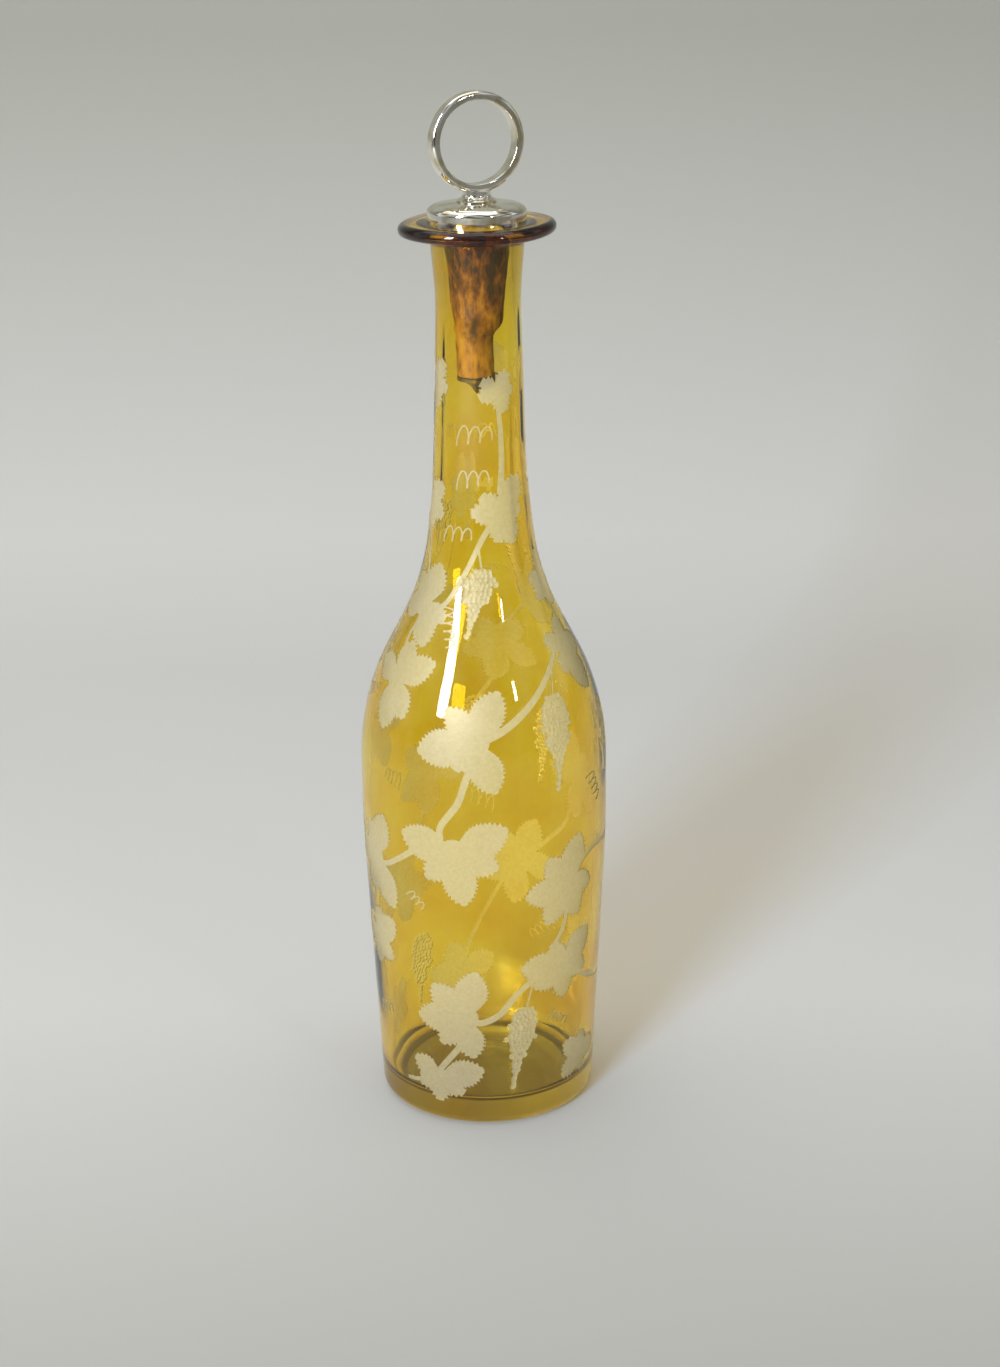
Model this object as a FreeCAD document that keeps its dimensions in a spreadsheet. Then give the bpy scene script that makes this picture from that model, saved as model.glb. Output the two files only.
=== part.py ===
"""Glass decanter with a cork stopper, a domed cap and a finger ring, in millimetres.

The origin is the centre of the foot, on the surface that the decanter stands on, with +Z up.
"""
import FreeCAD, Part
import math
import os

import Sketcher
from FreeCAD import Vector

# Driving sizes. Lengths along the glass are stacked: each starts where the one before it ends.
SIZES = {
    # Foot and floor of the glass. The floor rises over the hollow under it, the punt.
    "foot_radius": 35.1,
    "foot_inner_radius": 27.0,
    "heel_rounding": 4.0,
    "punt_height": 3.0,
    "punt_flat_radius": 8.0,
    "punt_rounding": 30.0,
    "floor_thickness": 6.8,
    "floor_rounding": 4.5,
    "wall": 3.0,
    # Body and shoulder of the glass.
    "body_radius": 39.7,
    "belly_rise": 93.6,
    "belly_rounding": 450.0,
    "belly_length": 43.2,
    "shoulder_rounding": 80.0,
    "shoulder_rise": 42.8,
    # Neck of the glass, from its root in the shoulder to the throat under the lip.
    "neck_root_radius": 17.9,
    "neck_root_rounding": 81.0,
    "neck_root_length": 33.5,
    "neck_waist_radius": 14.5,
    "neck_waist_rounding": 300.0,
    "neck_length": 52.9,
    "throat_rounding": 100.0,
    "throat_length": 20.0,
    # Bore and lip of the glass. The throat is the bore and its wall, and the flare widens from it.
    "bore_radius": 10.3,
    "throat_wall": 2.7,
    "flare_spread": 1.6,
    "under_lip_rounding": 4.0,
    "lip_overhang": 9.5,
    "lip_thickness": 4.0,
    "lip_edge_flat": 0.2,
    "mouth_rounding": 1.2,
    # Cork: a straight grip, a taper, a step and a worn tail.
    "cork_clearance": 0.3,
    "cork_length": 48.0,
    "cork_grip_length": 6.0,
    "cork_taper_length": 27.0,
    "cork_waist_radius": 7.2,
    "cork_step_length": 2.5,
    "cork_tail_radius": 5.8,
    "cork_edge_rounding": 0.6,
    "cork_grip_rounding": 8.0,
    # Rod, washer and pointed nut.
    "rod_radius": 1.75,
    "rod_clearance": 0.05,
    "rod_chamfer": 0.4,
    "rod_end_gap": 0.2,
    "washer_radius": 6.8,
    "washer_thickness": 1.0,
    "nut_radius": 5.2,
    "nut_rim": 0.6,
    "nut_point": 3.8,
    "nut_tip_radius": 0.8,
    "nut_engagement": 2.5,
    # Domed cap and the plate that closes it. The seat is the cap's reach over the lip, past the bore.
    "cap_seat_width": 4.8,
    "cap_metal": 0.8,
    "cap_side": 2.9,
    "cap_side_rounding": 1.4,
    "cap_edge_width": 1.5,
    "cap_edge_rise": 1.3,
    "cap_edge_rounding": 3.5,
    "cap_crown_margin": 1.8,
    "cap_crown_rise": 1.0,
    "cap_crown_rounding": 20.0,
    "plate_thickness": 1.2,
    "plate_clearance": 0.05,
    # Collar and finger ring.
    "collar_foot_radius": 6.2,
    "collar_foot": 0.5,
    "collar_flare": 0.9,
    "collar_radius": 4.3,
    "collar_rounding": 1.2,
    "collar_height": 3.2,
    "collar_roof": 1.2,
    "ring_outer_radius": 15.0,
    "ring_metal": 2.6,
    "ring_width": 5.0,
    "ring_outer_rounding": 1.2,
    "ring_inner_rounding": 0.35,
    "ring_seat_depth": 0.6,
    "ring_heading": 23.0,
}

doc = FreeCAD.newDocument("decanter")
sheet = doc.addObject("Spreadsheet::Sheet", "sizes")
for row, (alias, value) in enumerate(SIZES.items(), start=1):
    sheet.set(f"A{row}", alias)
    sheet.set(f"B{row}", str(value))
    sheet.setAlias(f"B{row}", alias)
doc.recompute()


def cell(*aliases):
    """A formula that adds up the cells with these aliases."""
    return "(" + " + ".join(f"sizes.{alias}" for alias in aliases) + ")"


# Heights of the glass above the foot.
BELLY = cell("belly_rise")
SHOULDER = cell("belly_rise", "belly_length")
NECK_ROOT = f"({SHOULDER} + sizes.shoulder_rise)"
NECK_WAIST = f"({NECK_ROOT} + sizes.neck_root_length)"
THROAT = f"({NECK_WAIST} + sizes.neck_length)"
UNDER_LIP = f"({THROAT} + sizes.throat_length)"
RIM = f"({UNDER_LIP} + sizes.lip_thickness)"

# Sizes that pieces share.
THROAT_RADIUS = cell("bore_radius", "throat_wall")
FLARE_RADIUS = cell("bore_radius", "throat_wall", "flare_spread")
LIP_RADIUS = cell("bore_radius", "throat_wall", "flare_spread", "lip_overhang")
CAP_RADIUS = cell("bore_radius", "cap_seat_width")
CAP_EDGE_HEIGHT = cell("cap_side", "cap_edge_rise")
CAP_HEIGHT = cell("cap_side", "cap_edge_rise", "cap_crown_rise")
ROD_HOLE = cell("rod_radius", "rod_clearance")

# Heights of the stopper, which sits on the rim.
CORK_FOOT = f"({RIM} - sizes.cork_length)"
WASHER_FOOT = f"({CORK_FOOT} - sizes.washer_thickness)"
ROD_FOOT = f"({WASHER_FOOT} - sizes.nut_engagement)"
CAP_CROWN = f"({RIM} + {CAP_HEIGHT})"
COLLAR_TOP = f"({CAP_CROWN} + sizes.collar_height)"
RING_CENTRE = f"({COLLAR_TOP} + sizes.ring_outer_radius - sizes.ring_seat_depth)"


def new_body(label, height="0 * sizes.wall"):
    """A sub-part whose own origin is on the decanter's axis at this height."""
    body = doc.addObject("PartDesign::Body", label)
    body.Label = label
    body.setExpression("Placement.Base.z", height)
    return body


def new_sketch(body, name, role):
    """A sketch on one of the body's own origin planes."""
    plane = next(feature for feature in body.Origin.OriginFeatures if feature.Role == role)
    sketch = body.newObject("Sketcher::SketchObject", f"{body.Label}_{name}")
    sketch.AttachmentSupport = [(plane, "")]
    sketch.MapMode = "FlatFace"
    return sketch


def bind(sketch, kind, *where, formula):
    """Adds a dimension to the sketch and binds it to a formula."""
    index = sketch.addConstraint(Sketcher.Constraint(kind, *where, sketch.evalExpression(formula)))
    sketch.setExpression(f"Constraints[{index}]", formula)


def pin(sketch, geometry, vertex, across, up):
    """Holds a point of the sketch at two formulas, or on an axis where a formula is zero."""
    for kind, axis, formula in (("DistanceX", -2, across), ("DistanceY", -1, up)):
        if formula == "0":
            sketch.addConstraint(Sketcher.Constraint("PointOnObject", geometry, vertex, axis))
        else:
            bind(sketch, kind, geometry, vertex, formula=formula)


def outline(sketch, corners):
    """Draws a closed outline with straight sides through corners of (across, up, rounding).

    Each entry is a formula. A corner whose rounding is None stays sharp, and any other gets an arc that
    is tangent to both of its sides.
    """
    points = [Vector(sketch.evalExpression(a), sketch.evalExpression(u), 0) for a, u, _ in corners]
    count = len(corners)
    before, after, arcs = [], [], []
    for i, (_, _, rounding) in enumerate(corners):
        back = (points[i - 1] - points[i]).normalize()
        ahead = (points[(i + 1) % count] - points[i]).normalize()
        if rounding is None:
            before.append(points[i])
            after.append(points[i])
            arcs.append(None)
            continue
        radius = sketch.evalExpression(rounding)
        half_turn = (math.pi - back.getAngle(ahead)) / 2
        reach = radius * math.tan(half_turn)
        before.append(points[i] + back * reach)
        after.append(points[i] + ahead * reach)
        middle = points[i] + (back + ahead).normalize() * (radius / math.cos(half_turn))
        turns_left = back.cross(ahead).z < 0
        first, last = (before[i], after[i]) if turns_left else (after[i], before[i])
        angles = [math.atan2(point.y - middle.y, point.x - middle.x) for point in (first, last)]
        if angles[1] < angles[0]:
            angles[1] += 2 * math.pi
        circle = Part.Circle(middle, Vector(0, 0, 1), radius)
        arcs.append((Part.ArcOfCircle(circle, *angles), turns_left))

    sides = [sketch.addGeometry(Part.LineSegment(after[i], before[(i + 1) % count])) for i in range(count)]
    for i, (across, up, rounding) in enumerate(corners):
        if rounding is None:
            sketch.addConstraint(Sketcher.Constraint("Coincident", sides[i - 1], 2, sides[i], 1))
            pin(sketch, sides[i], 1, across, up)
            continue
        arc, turns_left = arcs[i]
        bend = sketch.addGeometry(arc)
        start, end = (1, 2) if turns_left else (2, 1)
        sketch.addConstraint(Sketcher.Constraint("Tangent", sides[i - 1], 2, bend, start))
        sketch.addConstraint(Sketcher.Constraint("Tangent", bend, end, sides[i], 1))
        corner = sketch.addGeometry(Part.Point(points[i]), True)
        sketch.addConstraint(Sketcher.Constraint("PointOnObject", corner, 1, sides[i - 1]))
        sketch.addConstraint(Sketcher.Constraint("PointOnObject", corner, 1, sides[i]))
        pin(sketch, corner, 1, across, up)
        bind(sketch, "Radius", bend, formula=rounding)


def turned(body, corners):
    """Turns a closed outline of (radius, height, rounding) corners about the body's upright axis."""
    section = new_sketch(body, "section", "XZ_Plane")
    outline(section, corners)
    solid = body.newObject("PartDesign::Revolution", f"{body.Label}_turned")
    solid.Profile = (section, [""])
    solid.ReferenceAxis = (section, ["V_Axis"])
    solid.Angle = 360
    section.Visibility = False
    return solid


def extruded(body, radii, length):
    """Pads a disc, or a ring where there are two radii, upwards from the body's origin."""
    face = new_sketch(body, "face", "XY_Plane")
    for formula in radii:
        circle = Part.Circle(Vector(0, 0, 0), Vector(0, 0, 1), face.evalExpression(formula))
        edge = face.addGeometry(circle)
        face.addConstraint(Sketcher.Constraint("Coincident", edge, 3, -1, 1))
        bind(face, "Radius", edge, formula=formula)
    solid = body.newObject("PartDesign::Pad", f"{body.Label}_pad")
    solid.Profile = (face, [""])
    solid.setExpression("Length", length)
    face.Visibility = False
    return solid


def glass_bottle():
    """Blown glass: a foot ring round the punt, a slightly tapered body, a shoulder, a neck and a lip."""
    lip_edge = "((sizes.lip_thickness - sizes.lip_edge_flat) / 2)"
    floor_middle = cell("floor_thickness", "punt_height")
    turned(new_body("glass_bottle"), [
        ("sizes.foot_inner_radius", "0", None),
        ("sizes.foot_radius", "0", "sizes.heel_rounding"),
        ("sizes.body_radius", BELLY, "sizes.belly_rounding"),
        ("sizes.body_radius", SHOULDER, "sizes.shoulder_rounding"),
        ("sizes.neck_root_radius", NECK_ROOT, "sizes.neck_root_rounding"),
        ("sizes.neck_waist_radius", NECK_WAIST, "sizes.neck_waist_rounding"),
        (THROAT_RADIUS, THROAT, "sizes.throat_rounding"),
        (FLARE_RADIUS, UNDER_LIP, "sizes.under_lip_rounding"),
        (LIP_RADIUS, UNDER_LIP, lip_edge),
        (LIP_RADIUS, RIM, lip_edge),
        ("sizes.bore_radius", RIM, "sizes.mouth_rounding"),
        ("sizes.bore_radius", THROAT, "sizes.throat_rounding"),
        ("sizes.neck_waist_radius - sizes.wall", NECK_WAIST, cell("neck_waist_rounding", "wall")),
        ("sizes.neck_root_radius - sizes.wall", NECK_ROOT, cell("neck_root_rounding", "wall")),
        ("sizes.body_radius - sizes.wall", SHOULDER, "sizes.shoulder_rounding - sizes.wall"),
        ("sizes.body_radius - sizes.wall", BELLY, "sizes.belly_rounding - sizes.wall"),
        ("sizes.foot_radius - sizes.wall", "sizes.floor_thickness", "sizes.floor_rounding"),
        ("sizes.punt_flat_radius", floor_middle, "sizes.punt_rounding"),
        ("0", floor_middle, None),
        ("0", "sizes.punt_height", None),
        ("sizes.punt_flat_radius", "sizes.punt_height", "sizes.punt_rounding"),
    ])


def cork():
    """Drilled cork whose grip fills the bore, with its top face in the plane of the rim."""
    grip_foot = "(-sizes.cork_grip_length)"
    taper_foot = f"({grip_foot} - sizes.cork_taper_length)"
    step_foot = f"({taper_foot} - sizes.cork_step_length)"
    grip_radius = "(sizes.bore_radius - sizes.cork_clearance)"
    turned(new_body("cork", RIM), [
        (ROD_HOLE, "-sizes.cork_length", None),
        ("sizes.cork_tail_radius", "-sizes.cork_length", "sizes.cork_edge_rounding"),
        ("sizes.cork_tail_radius", step_foot, "sizes.cork_edge_rounding"),
        ("sizes.cork_waist_radius", taper_foot, "sizes.cork_edge_rounding"),
        (grip_radius, grip_foot, "sizes.cork_grip_rounding"),
        (grip_radius, "0", "sizes.cork_edge_rounding"),
        (ROD_HOLE, "0", None),
    ])


def threaded_rod():
    """Rod from the pointed nut up through the cork and the cap into the collar."""
    body = new_body("threaded_rod", ROD_FOOT)
    top = f"({COLLAR_TOP} - sizes.collar_roof - sizes.rod_end_gap)"
    rod = extruded(body, ["sizes.rod_radius"], f"{top} - {ROD_FOOT}")
    doc.recompute()
    ends = [f"Edge{i}" for i, edge in enumerate(rod.Shape.Edges, start=1)
            if isinstance(edge.Curve, Part.Circle)]
    bevel = body.newObject("PartDesign::Chamfer", "threaded_rod_bevel")
    bevel.Base = (rod, ends)
    bevel.setExpression("Size", "sizes.rod_chamfer")


def end_washer():
    """Flat washer under the cork's tail."""
    body = new_body("end_washer", WASHER_FOOT)
    extruded(body, ["sizes.washer_radius", ROD_HOLE], "sizes.washer_thickness")


def cone_nut():
    """Pointed nut under the washer, with a blind hole for the rod's end."""
    hole_top = f"(-{cell('nut_engagement', 'rod_end_gap')})"
    tip = f"(-{cell('nut_rim', 'nut_point')})"
    turned(new_body("cone_nut", WASHER_FOOT), [
        ("0", tip, None),
        ("sizes.nut_tip_radius", tip, None),
        ("sizes.nut_radius", "-sizes.nut_rim", None),
        ("sizes.nut_radius", "0", None),
        (ROD_HOLE, "0", None),
        (ROD_HOLE, hole_top, None),
        ("0", hole_top, None),
    ])


def dome_cap():
    """Spun hollow cap that stands on the lip, with a flat crown under the collar."""
    inner_radius = f"({CAP_RADIUS} - sizes.cap_metal)"
    inner_crown = f"({CAP_HEIGHT} - sizes.cap_metal)"
    crown_radius = cell("collar_foot_radius", "cap_crown_margin")
    turned(new_body("dome_cap", RIM), [
        (inner_radius, "0", None),
        (CAP_RADIUS, "0", None),
        (CAP_RADIUS, "sizes.cap_side", "sizes.cap_side_rounding"),
        (f"{CAP_RADIUS} - sizes.cap_edge_width", CAP_EDGE_HEIGHT, "sizes.cap_edge_rounding"),
        (crown_radius, CAP_HEIGHT, "sizes.cap_crown_rounding"),
        (ROD_HOLE, CAP_HEIGHT, None),
        (ROD_HOLE, inner_crown, None),
        (crown_radius, inner_crown, "sizes.cap_crown_rounding - sizes.cap_metal"),
        (inner_radius, "sizes.cap_side - sizes.cap_metal / 2", "sizes.cap_side_rounding"),
    ])


def cap_base_plate():
    """Flat plate that closes the cap, level with its rim, and presses on the cork."""
    radius = f"{CAP_RADIUS} - sizes.cap_metal - sizes.plate_clearance"
    extruded(new_body("cap_base_plate", RIM), [radius, ROD_HOLE], "sizes.plate_thickness")


def ring_collar():
    """Flared collar on the cap's crown, with a blind hole for the rod and a flat top for the ring."""
    hole_top = "(sizes.collar_height - sizes.collar_roof)"
    turned(new_body("ring_collar", CAP_CROWN), [
        (ROD_HOLE, "0", None),
        ("sizes.collar_foot_radius", "0", None),
        ("sizes.collar_foot_radius", "sizes.collar_foot", None),
        ("sizes.collar_radius", cell("collar_foot", "collar_flare"), "sizes.collar_rounding"),
        ("sizes.collar_radius", "sizes.collar_height", None),
        ("0", "sizes.collar_height", None),
        ("0", hole_top, None),
        (ROD_HOLE, hole_top, None),
    ])


def finger_ring():
    """Band turned about a level axis, with a flat filed on it where it is soldered to the collar."""
    body = new_body("finger_ring", RING_CENTRE)
    body.Placement.Rotation = FreeCAD.Rotation(Vector(0, 0, 1), SIZES["ring_heading"])
    body.setExpression("Placement.Rotation.Angle", "sizes.ring_heading")
    inner_radius = "(sizes.ring_outer_radius - sizes.ring_metal)"
    half_width = "sizes.ring_width / 2"
    section = new_sketch(body, "section", "YZ_Plane")
    outline(section, [
        (half_width, inner_radius, "sizes.ring_inner_rounding"),
        (half_width, "sizes.ring_outer_radius", "sizes.ring_outer_rounding"),
        (f"-{half_width}", "sizes.ring_outer_radius", "sizes.ring_outer_rounding"),
        (f"-{half_width}", inner_radius, "sizes.ring_inner_rounding"),
    ])
    band = body.newObject("PartDesign::Revolution", "finger_ring_turned")
    band.Profile = (section, [""])
    band.ReferenceAxis = (section, ["H_Axis"])
    band.Angle = 360
    doc.recompute()

    filed = new_sketch(body, "filed", "XZ_Plane")
    seat = "-(sizes.ring_outer_radius - sizes.ring_seat_depth)"
    below = "-(sizes.ring_outer_radius + sizes.ring_seat_depth)"
    outline(filed, [
        ("-sizes.ring_outer_radius", below, None),
        ("sizes.ring_outer_radius", below, None),
        ("sizes.ring_outer_radius", seat, None),
        ("-sizes.ring_outer_radius", seat, None),
    ])
    flat = body.newObject("PartDesign::Pocket", "finger_ring_flat")
    flat.Profile = (filed, [""])
    flat.Midplane = True
    flat.setExpression("Length", "2 * sizes.ring_width")
    doc.recompute()
    if flat.Shape.Volume >= band.Shape.Volume:
        raise SystemExit("the flat on the finger ring removes nothing")


def check_and_export():
    """Stops on a failed object or a bad solid, and otherwise writes one file for each sub-part."""
    doc.recompute()
    for item in doc.Objects:
        if "Invalid" in item.State or "Error" in item.State:
            raise SystemExit(f"{item.Label} failed: {item.State}")
        if item.isDerivedFrom("Sketcher::SketchObject") and not item.FullyConstrained:
            raise SystemExit(f"{item.Label} isn't fully constrained")
    bodies = doc.findObjects("PartDesign::Body")
    for body in bodies:
        if body.Shape.isNull() or not body.Shape.isValid() or len(body.Shape.Solids) != 1:
            raise SystemExit(f"{body.Label} has no valid single solid")
    os.makedirs("parts", exist_ok=True)
    for body in bodies:
        body.Shape.exportStep(f"parts/{body.Label}.step")
        box = body.Shape.optimalBoundingBox(False)
        print(f"{body.Label}: {body.Shape.Volume:.0f} mm3, z {box.ZMin:.2f} to {box.ZMax:.2f}")


glass_bottle()
cork()
threaded_rod()
end_washer()
cone_nut()
dome_cap()
cap_base_plate()
ring_collar()
finger_ring()
check_and_export()
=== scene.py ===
import math

import bpy
import numpy as np
from mathutils import Matrix, Vector, geometry


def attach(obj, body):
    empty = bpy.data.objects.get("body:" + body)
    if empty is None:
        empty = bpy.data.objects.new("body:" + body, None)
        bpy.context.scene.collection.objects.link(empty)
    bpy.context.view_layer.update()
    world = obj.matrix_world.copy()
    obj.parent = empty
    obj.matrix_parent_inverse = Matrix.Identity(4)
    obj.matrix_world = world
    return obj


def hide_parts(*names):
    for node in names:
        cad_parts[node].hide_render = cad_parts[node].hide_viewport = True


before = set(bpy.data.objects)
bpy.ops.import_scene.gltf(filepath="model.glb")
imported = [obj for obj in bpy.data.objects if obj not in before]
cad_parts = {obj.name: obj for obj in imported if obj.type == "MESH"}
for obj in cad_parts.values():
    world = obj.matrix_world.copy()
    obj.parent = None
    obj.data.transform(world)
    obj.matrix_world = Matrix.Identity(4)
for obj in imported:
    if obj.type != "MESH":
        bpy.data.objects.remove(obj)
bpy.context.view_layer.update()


# Camera: 76 cm in front of the decanter and 41 cm above its table, looking down by 19 degrees with a
# short telephoto lens. The small roll is the lean of the hand-held view.
MM = 0.001
CAMERA_PLACE_MM = (5.5, -760, 409)
CAMERA_DIP = 19.42
CAMERA_ROLL = -0.6
LENS_MM = 66.0
SENSOR_WIDTH_MM = 36

camera_data = bpy.data.cameras.new("camera")
camera_data.lens = LENS_MM
camera_data.sensor_width = SENSOR_WIDTH_MM
camera = bpy.data.objects.new("camera", camera_data)
bpy.context.collection.objects.link(camera)
camera.matrix_world = (
    Matrix.Translation([d * MM for d in CAMERA_PLACE_MM])
    @ Matrix.Rotation(math.radians(90 - CAMERA_DIP), 4, "X")
    @ Matrix.Rotation(math.radians(CAMERA_ROLL), 4, "Z")
)
bpy.context.scene.camera = camera
bpy.context.scene.view_settings.view_transform = "Standard"
# The glass lets lamp light through on shadow rays, so refracted caustics would count it twice.
bpy.context.scene.cycles.caustics_refractive = False


# Decanter glass: one blown and tooled piece of clear lead glass, stained amber on its outer skin only.
# The inner walls are clear, the heel and floor are thick, and a flat lip is laid out round the mouth.
# The vine is ground through the stain with a copper wheel, so it shows as a matt cut in clear glass.
COLUMNS = 136
ROW_LENGTH_MM = 3.2
ROW_TURN = 10
FINE_LENGTH_MM = 0.4
FINE_TURN = 2
# Corners of the turned outline, each (distance from the axis, height, rounding radius) in mm.
FOOT_CORNERS = [(0, 3, 0), (8, 3, 30), (27, 0, 0)]
OUTER_CORNERS = [
    (35.1, 0, 4), (39.7, 93.6, 450), (39.7, 136.8, 80), (17.9, 179.6, 81), (14.5, 213.1, 300),
    (13.0, 266, 100), (14.6, 286, 4),
]
LIP_CORNERS = [(24.1, 286, 1.9), (24.1, 290, 1.9), (10.3, 290, 1.2)]
INNER_CORNERS = [
    (10.3, 266, 100), (11.5, 213.1, 303), (14.9, 179.6, 84), (36.7, 136.8, 77), (36.7, 93.6, 447),
    (32.1, 6.8, 4.5), (8, 9.8, 30), (0, 9.8, 0),
]
ENGRAVED_FROM_MM = 5.0
ENGRAVED_TO_MM = 262.0


def rounded_outline(corners, longest, sharpest):
    """Walks (across, up, rounding) corners; gives rows of across, up and way gone, all in mm."""
    here = np.array(corners[0][:2], float)
    rows = [(*here, 0.0)]

    def run_to(end):
        nonlocal here
        length = np.linalg.norm(end - here)
        count = max(1, math.ceil(length / longest))
        start, way = here, rows[-1][2]
        for k in range(1, count + 1):
            if length > 1e-6:
                rows.append((*(start + (end - start) * k / count), way + length * k / count))
        here = end

    for corner, after in zip(corners[1:], corners[2:]):
        point = np.array(corner[:2], float)
        ahead = point - here
        ahead /= np.linalg.norm(ahead)
        onward = np.array(after[:2], float) - point
        onward /= np.linalg.norm(onward)
        turn = math.atan2(ahead[0] * onward[1] - ahead[1] * onward[0], ahead @ onward)
        reach = corner[2] * math.tan(abs(turn) / 2)
        run_to(point - ahead * reach)
        if corner[2]:
            side = np.array([-ahead[1], ahead[0]]) * math.copysign(1, turn)
            middle = here + side * corner[2]
            length = corner[2] * abs(turn)
            count = max(math.ceil(length / longest), math.ceil(math.degrees(abs(turn)) / sharpest))
            first, way = math.atan2(*(-side)[::-1]), rows[-1][2]
            for k in range(1, count + 1):
                angle = first + turn * k / count
                edge = middle + corner[2] * np.array([math.cos(angle), math.sin(angle)])
                rows.append((*edge, way + length * k / count))
            here = np.array(rows[-1][:2])
    run_to(np.array(corners[-1][:2], float))
    return np.array(rows)


GLASS_CORNERS = FOOT_CORNERS + OUTER_CORNERS + LIP_CORNERS + INNER_CORNERS
glass_fine = rounded_outline(GLASS_CORNERS, FINE_LENGTH_MM, FINE_TURN)
glass_rows = rounded_outline(GLASS_CORNERS, ROW_LENGTH_MM, ROW_TURN)
rim_way = glass_fine[np.argmax(glass_fine[:, 1] >= 289.99), 2]
outer_fine = glass_fine[(glass_fine[:, 2] < rim_way) & (glass_fine[:, 1] < 286)]


def way_at(height):
    """Way along the outline, in mm, to a height on the outer skin."""
    return np.interp(height, outer_fine[20:, 1], outer_fine[20:, 2])


def girth_radius(way):
    return np.interp(way, glass_fine[:, 2], glass_fine[:, 0])


def smooth_step(value, low, high):
    part = np.clip((value - low) / (high - low), 0, 1)
    return part * part * (3 - 2 * part)


LIP_DROOP_MM = 0.8
LIP_DROOP_HEADING = -60
LIP_WAVE_MM = 0.25
WALL_WAVE_MM = 0.14
NECK_RIB_MM = 0.15
SKIN_WAVE_MM = 0.05
# Each fade is a stretch over which waves set in: of way from the rim, of height or of radius, in mm.
RIM_FADE_MM = (22, 30)
FLOOR_FADE_MM = (12, 22)
AXIS_FADE_MM = (9, 12)
NECK_FADE_MM = (150, 200)
BORE_FADE_MM = (250, 268)
LIP_FADE_MM = (15.6, 24)
LIP_UNDERSIDE_MM = (283, 286)


def glass_surface(heading, way):
    """Place in mm on the blown surface, for headings in radians from the front, with its small waves."""
    across = np.interp(way, glass_fine[:, 2], glass_fine[:, 0])
    up = np.interp(way, glass_fine[:, 2], glass_fine[:, 1])
    inside = smooth_step(way, rim_way + RIM_FADE_MM[0], rim_way + RIM_FADE_MM[1])
    flank = smooth_step(across, *AXIS_FADE_MM) * smooth_step(up, *FLOOR_FADE_MM)
    wave = np.sin(2 * heading + 0.045 * up + 0.6) + 0.7 * np.sin(3 * heading - 0.07 * up + 2.1)
    wave = wave + 0.5 * np.sin(5 * heading + 0.05 * up + 4.0)
    ribs = np.sin(9 * heading + 0.012 * up) + 0.6 * np.sin(14 * heading - 0.02 * up + 1.3)
    neck = smooth_step(up, *NECK_FADE_MM) * (1 - 0.6 * smooth_step(up, *BORE_FADE_MM))
    inner_wave = WALL_WAVE_MM * wave * (1 - 0.6 * neck) + NECK_RIB_MM * neck * ribs
    across = across + inside * flank * inner_wave
    outside = smooth_step(rim_way - way, *RIM_FADE_MM) * smooth_step(up, *FLOOR_FADE_MM)
    across = across + outside * SKIN_WAVE_MM * (wave + 0.6 * np.sin(7 * heading - 0.03 * up))
    lip = smooth_step(across, *LIP_FADE_MM) * smooth_step(up, *LIP_UNDERSIDE_MM)
    up = up - lip * LIP_DROOP_MM * (0.5 + 0.5 * np.cos(heading - math.radians(LIP_DROOP_HEADING)))
    up = up - lip * LIP_WAVE_MM * (1 + np.sin(3 * heading + 1.0))
    return np.stack([across * np.sin(heading), -across * np.cos(heading), up], axis=-1)


def glass_normal(heading, way):
    """Outward direction of the surface, from the slopes of glass_surface along both of its ways."""
    turn_step, way_step = 0.004, 0.06
    round_slope = glass_surface(heading + turn_step, way) - glass_surface(heading - turn_step, way)
    up_slope = glass_surface(heading, way + way_step) - glass_surface(heading, way - way_step)
    normal = np.cross(round_slope, up_slope)
    length = np.linalg.norm(normal, axis=-1, keepdims=True)
    return normal / np.maximum(length, 1e-12)


# Engraved vine: leaves of five egg-shaped lobes with saw-toothed far edges, hanging grapes, stems and
# coiled tendrils, all cut with a small wheel. Each leaf is (heading, height, lobes), and each lobe is
# (turn from upright, reach), in degrees and mm; a lobe is about two thirds as wide as it is long.
CHART_RADIUS = 30.0
SEAM_HEADING = -180.0
TOOTH_PITCH_MM = 1.45
TOOTH_DEPTH_MM = 0.9
LOBE_WIDTH_MM = 0.9
LOBE_WIDENING = 0.235
LOBE_FULLNESS = 4.2
LOBE_SKEW = 1.05
LOBE_PLAIN_SHARE = 0.26
EDGE_OVER_REACH = 1.12
TOOTH_LEAN = 0.7
HEART_SHARE = 0.3
STEM_STEPS = 8
COIL_STEPS = 14
COIL_TAPER = 0.35
COIL_ADVANCE = 0.56
COIL_OVERHANG = 0.12
COIL_SLANT = 0.18
TENDRIL_WIDTH_MM = 0.5
CUT_DEPTH_MM = 0.2
BERRY_DEPTH_MM = 0.36
BERRY_SIDES = 12
BERRY_ROW_SHARE = 1.3
BERRY_GAP_SHARE = 1.5
BERRY_INNER_SHARE = 0.58
BERRY_STRAY_MM = 0.25
BERRY_RIM_DEPTH_MM = 0.1

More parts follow.
